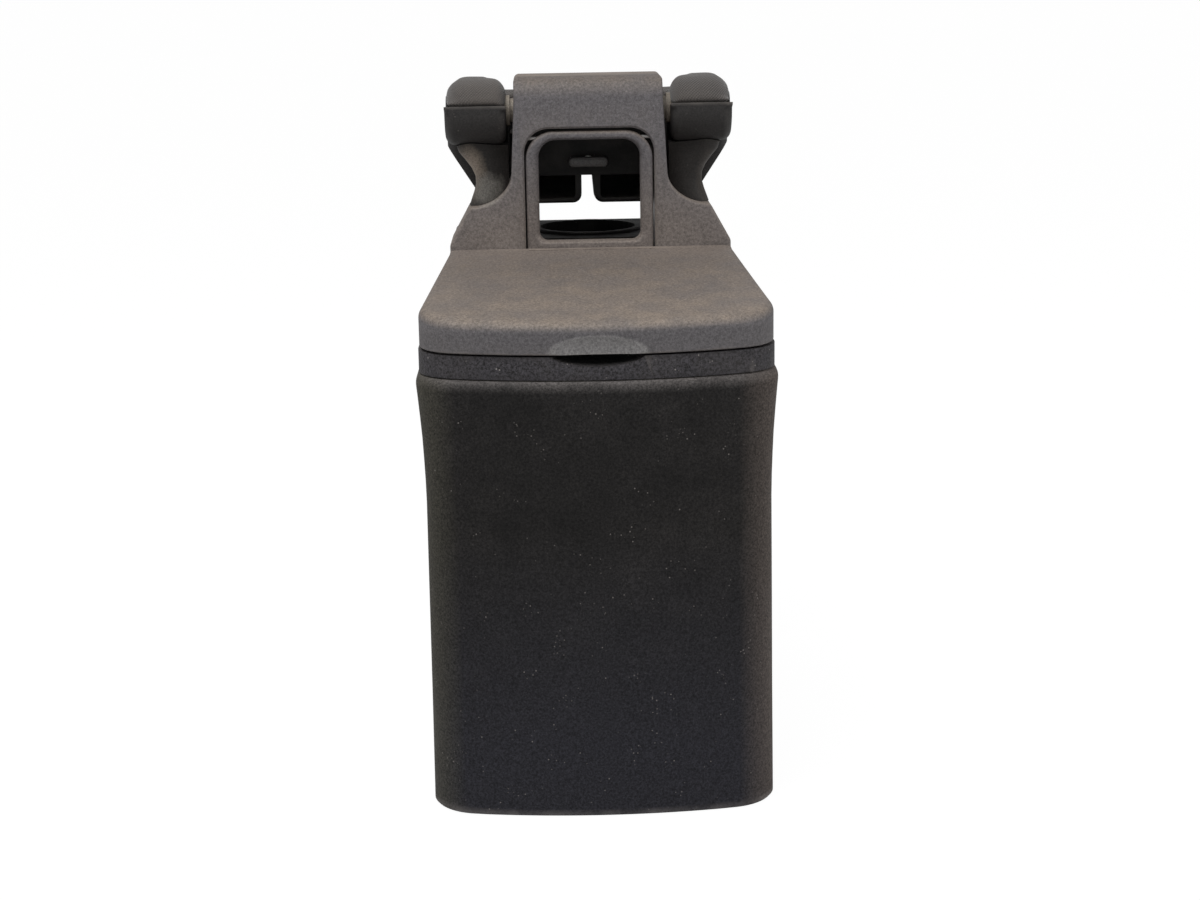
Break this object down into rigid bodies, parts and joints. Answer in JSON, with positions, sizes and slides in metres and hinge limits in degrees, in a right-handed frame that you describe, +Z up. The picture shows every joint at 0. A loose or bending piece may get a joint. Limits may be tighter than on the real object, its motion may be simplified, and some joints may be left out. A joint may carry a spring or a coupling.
{
  "type": "car centre console armrest",
  "caption": "Centre console with a tall lidded storage bin, a column with a hand window, a rear cup recess and folding padded arms.",
  "frame": {"origin": "middle of the whole object's plan, on the surface that it stands on", "axes": "+Z up, -Y out of the storage bin's big face, +Y along the arms, +X to the right seen from the bin's face"},
  "size_m": [0.2326, 0.415, 0.4612],
  "materials": {
    "bin_plastic": "fine grained, dusty",
    "brown_plastic": "fine grained, scuffed",
    "dark_plastic": "fine grained",
    "fabric": "fine diagonal weave",
    "steel": "plain",
    "zinc_steel": "yellow zinc plated",
    "rubber": "matte"
  },
  "bodies": {
    "base": {"housing": "bin_plastic", "base_plate": "zinc_steel", "base_screw_1": "steel", "base_screw_2": "steel", "base_screw_3": "steel", "base_screw_4": "steel", "collar": "dark_plastic", "bin_liner": "dark_plastic", "column_frame": "steel", "column_cover": "brown_plastic", "column_back": "dark_plastic", "column_screw_1": "steel", "column_screw_2": "steel", "column_screw_3": "steel", "column_screw_4": "steel", "pivot_tube": "zinc_steel", "hub_support_l": "brown_plastic", "hub_support_r": "brown_plastic", "rear_deck": "bin_plastic", "cup_insert": "dark_plastic", "cup_mat": "rubber", "lid_pin_1": "steel", "lid_pin_2": "steel", "lid_buffer_1": "rubber", "lid_buffer_2": "rubber", "release_spring": "steel"},
    "lid": {"lid_skin": "brown_plastic", "lid_liner": "dark_plastic", "lid_screw_1": "steel", "lid_screw_2": "steel", "lid_screw_3": "steel", "lid_screw_4": "steel"},
    "arm_l": {"arm_l_pad": "fabric", "arm_l_shell": "brown_plastic", "arm_l_bracket": "steel", "arm_l_bush": "dark_plastic", "arm_l_cap": "dark_plastic", "arm_l_screw_1": "steel", "arm_l_screw_2": "steel"},
    "arm_r": {"arm_r_pad": "fabric", "arm_r_shell": "brown_plastic", "arm_r_bracket": "steel", "arm_r_bush": "dark_plastic", "arm_r_cap": "dark_plastic", "arm_r_screw_1": "steel", "arm_r_screw_2": "steel"},
    "release": {"release_bar": "bin_plastic"}
  },
  "joints": [
    {"name": "lid_hinge", "type": "hinge", "parent": "base", "child": "lid", "pos_m": [0, -0.021, 0.4198], "axis": [-1, 0, 0], "range_deg": [0, 70]},
    {"name": "arm_l_hinge", "type": "hinge", "parent": "base", "child": "arm_l", "pos_m": [-0.076, -0.0045, 0.438], "axis": [1, 0, 0], "range_deg": [0, 86]},
    {"name": "arm_r_hinge", "type": "hinge", "parent": "base", "child": "arm_r", "pos_m": [0.076, -0.0045, 0.438], "axis": [1, 0, 0], "range_deg": [0, 86]},
    {"name": "release_slide", "type": "slide", "parent": "base", "child": "release", "axis": [0, 1, 0], "range_m": [0, 0.0025], "stiffness_N_per_m": 400, "springref_m": -0.002}
  ]
}
